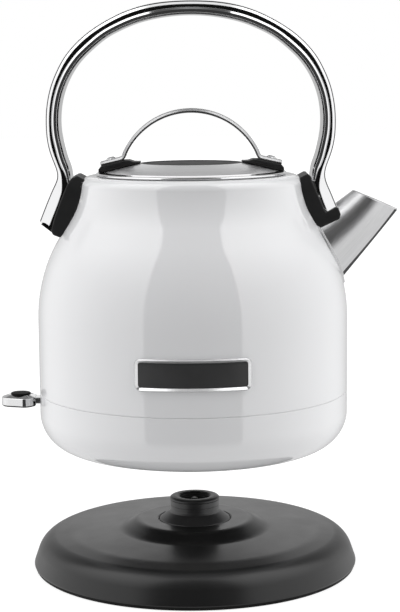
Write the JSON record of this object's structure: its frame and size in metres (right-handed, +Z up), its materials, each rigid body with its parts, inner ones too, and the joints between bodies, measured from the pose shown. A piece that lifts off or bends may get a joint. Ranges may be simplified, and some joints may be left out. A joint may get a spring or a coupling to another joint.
{
  "type": "electric kettle",
  "caption": "Domed cordless electric kettle with an arch handle, lift-off lid with strap, keeled spout, side switch lever and a round power base with a swivel post.",
  "frame": {"origin": "on the kettle's vertical axis, at the surface that the power base stands on", "axes": "+Z up, +X towards the spout, -Y towards the front plate"},
  "size_m": [0.2197, 0.18, 0.3109],
  "materials": {
    "white_enamel": "gloss",
    "chrome_plate": "polished",
    "brushed_steel": "brushed",
    "black_plastic": "satin",
    "base_plastic": "matte",
    "dark_insert": "satin",
    "silicone": "matte",
    "aluminium": "mill",
    "contact_brass": "bright",
    "control_plastic": "matte",
    "plated_steel": "bright",
    "wire_sleeve": "matte"
  },
  "bodies": {
    "kettle": {"body_shell": "white_enamel", "bottom_housing": "white_enamel", "spout": "brushed_steel", "spout_strainer": "brushed_steel", "handle_arch": "chrome_plate", "front_bracket": "black_plastic", "rear_bracket": "black_plastic", "handle_screws": "plated_steel", "nameplate_bezel": "chrome_plate", "nameplate_insert": "dark_insert", "heater_plate": "brushed_steel", "plate_seal": "silicone", "heat_spreader": "aluminium", "heating_element": "plated_steel", "steam_tube": "control_plastic", "control_unit": "control_plastic", "socket_contact": "contact_brass", "bimetal_discs": "plated_steel", "underside_cover": "base_plastic", "cover_screws": "plated_steel", "switch_pin": "plated_steel", "switch_spring": "plated_steel", "rocker_pin": "plated_steel"},
    "lid": {"lid_disc": "brushed_steel", "lid_skirt": "brushed_steel", "lid_seal": "silicone", "lid_pads": "black_plastic", "lid_strap": "brushed_steel", "lid_screws": "chrome_plate"},
    "switch": {"switch_lever": "chrome_plate", "lever_insert": "dark_insert"},
    "trip_rocker": {"trip_rocker": "control_plastic"},
    "swivel_ring": {"swivel_ring": "base_plastic"},
    "power_base": {"base_cover": "base_plastic", "base_floor": "base_plastic", "foot_ring": "silicone", "base_screws": "plated_steel", "connector_post": "base_plastic", "contact_pin": "contact_brass", "contact_ring": "contact_brass", "cord_gland": "silicone", "terminal_block": "control_plastic", "lead_wires": "wire_sleeve"}
  },
  "joints": [
    {"name": "base_dock", "type": "slide", "parent": "kettle", "child": "swivel_ring", "axis": [0, 0, 1], "range_m": [0, 0.0472]},
    {"name": "base_swivel", "type": "hinge", "parent": "swivel_ring", "child": "power_base", "pos_m": [0, 0, 0.0354], "axis": [0, 0, 1], "continuous": true},
    {"name": "lid_lift", "type": "slide", "parent": "kettle", "child": "lid", "axis": [0, 0, 1], "range_m": [0, 0.04]},
    {"name": "switch_press", "type": "hinge", "parent": "kettle", "child": "switch", "pos_m": [-0.076, 0, 0.0934], "axis": [0, -1, 0], "range_deg": [0, 10], "stiffness_Nm_per_rad": 0.05, "springref_deg": -14.32},
    {"name": "rocker_turn", "type": "hinge", "parent": "kettle", "child": "trip_rocker", "pos_m": [-0.052, 0, 0.086], "axis": [0, 1, 0], "range_deg": [0, 6]}
  ],
  "couplings": [
    {"joint": "rocker_turn", "follows": "switch_press", "ratio": 0.6}
  ]
}
